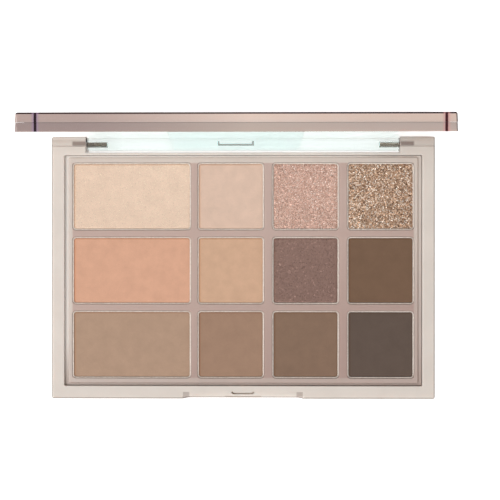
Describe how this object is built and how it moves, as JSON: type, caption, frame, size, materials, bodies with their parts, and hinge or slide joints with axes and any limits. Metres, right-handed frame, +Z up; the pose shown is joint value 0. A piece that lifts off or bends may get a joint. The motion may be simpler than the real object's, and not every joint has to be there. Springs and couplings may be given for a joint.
{
  "type": "eyeshadow palette",
  "caption": "Flat rectangular eyeshadow palette: a tray of pressed-powder pans in a tinted case, with a hinged lid that carries a mirror and a clear snap flap.",
  "frame": {"origin": "centre of the case's underside, the flat face it stands on", "axes": "+X along the width, parallel to the hinge pins; +Y towards the hinge at the back; +Z up"},
  "size_m": [0.11, 0.0823, 0.0781],
  "materials": {
    "tinted_plastic": "translucent rosy beige, satin gloss",
    "tray_plastic": "rosy beige, satin",
    "clear_plastic": "clear with a faint cool tint, polished",
    "pan_aluminium": "pressed thin sheet, bright",
    "pin_steel": "drawn wire",
    "mirror_glass": "silvered, polished",
    "tape_foam": "thin double-sided foam tape",
    "glue": "hot-melt glue",
    "label_paper": "plain coated paper",
    "powder_champagne": "pressed powder, faint shimmer",
    "powder_ivory": "pressed powder, matte",
    "powder_rose_glitter": "pressed fine glitter",
    "powder_gold_glitter": "pressed coarse glitter",
    "powder_peach": "pressed powder, matte",
    "powder_sand": "pressed powder, matte",
    "powder_mauve_shimmer": "pressed powder, satin shimmer",
    "powder_cocoa": "pressed powder, matte",
    "powder_taupe": "pressed powder, matte",
    "powder_camel": "pressed powder, matte",
    "powder_umber": "pressed powder, matte",
    "powder_charcoal": "pressed powder, matte"
  },
  "bodies": {
    "base": {"base_shell": "tinted_plastic", "base_label": "label_paper", "pan_tray": "tray_plastic", "hinge_pin_left": "pin_steel", "hinge_pin_right": "pin_steel", "glue_dot_r1c1": "glue", "pan_r1c1": "pan_aluminium", "powder_champagne": "powder_champagne", "glue_dot_r1c2": "glue", "pan_r1c2": "pan_aluminium", "powder_ivory": "powder_ivory", "glue_dot_r1c3": "glue", "pan_r1c3": "pan_aluminium", "powder_rose_glitter": "powder_rose_glitter", "glue_dot_r1c4": "glue", "pan_r1c4": "pan_aluminium", "powder_gold_glitter": "powder_gold_glitter", "glue_dot_r2c1": "glue", "pan_r2c1": "pan_aluminium", "powder_peach": "powder_peach", "glue_dot_r2c2": "glue", "pan_r2c2": "pan_aluminium", "powder_sand": "powder_sand", "glue_dot_r2c3": "glue", "pan_r2c3": "pan_aluminium", "powder_mauve_shimmer": "powder_mauve_shimmer", "glue_dot_r2c4": "glue", "pan_r2c4": "pan_aluminium", "powder_cocoa": "powder_cocoa", "glue_dot_r3c1": "glue", "pan_r3c1": "pan_aluminium", "powder_taupe": "powder_taupe", "glue_dot_r3c2": "glue", "pan_r3c2": "pan_aluminium", "powder_camel": "powder_camel", "glue_dot_r3c3": "glue", "pan_r3c3": "pan_aluminium", "powder_umber": "powder_umber", "glue_dot_r3c4": "glue", "pan_r3c4": "pan_aluminium", "powder_charcoal": "powder_charcoal"},
    "lid": {"lid_cover": "tinted_plastic", "lid_frame": "clear_plastic", "mirror": "mirror_glass", "mirror_tape": "tape_foam"}
  },
  "joints": [
    {"name": "lid_hinge", "type": "hinge", "parent": "base", "child": "lid", "pos_m": [0, 0.03555, 0.0045], "axis": [1, 0, 0], "range_deg": [-18, 86]}
  ]
}
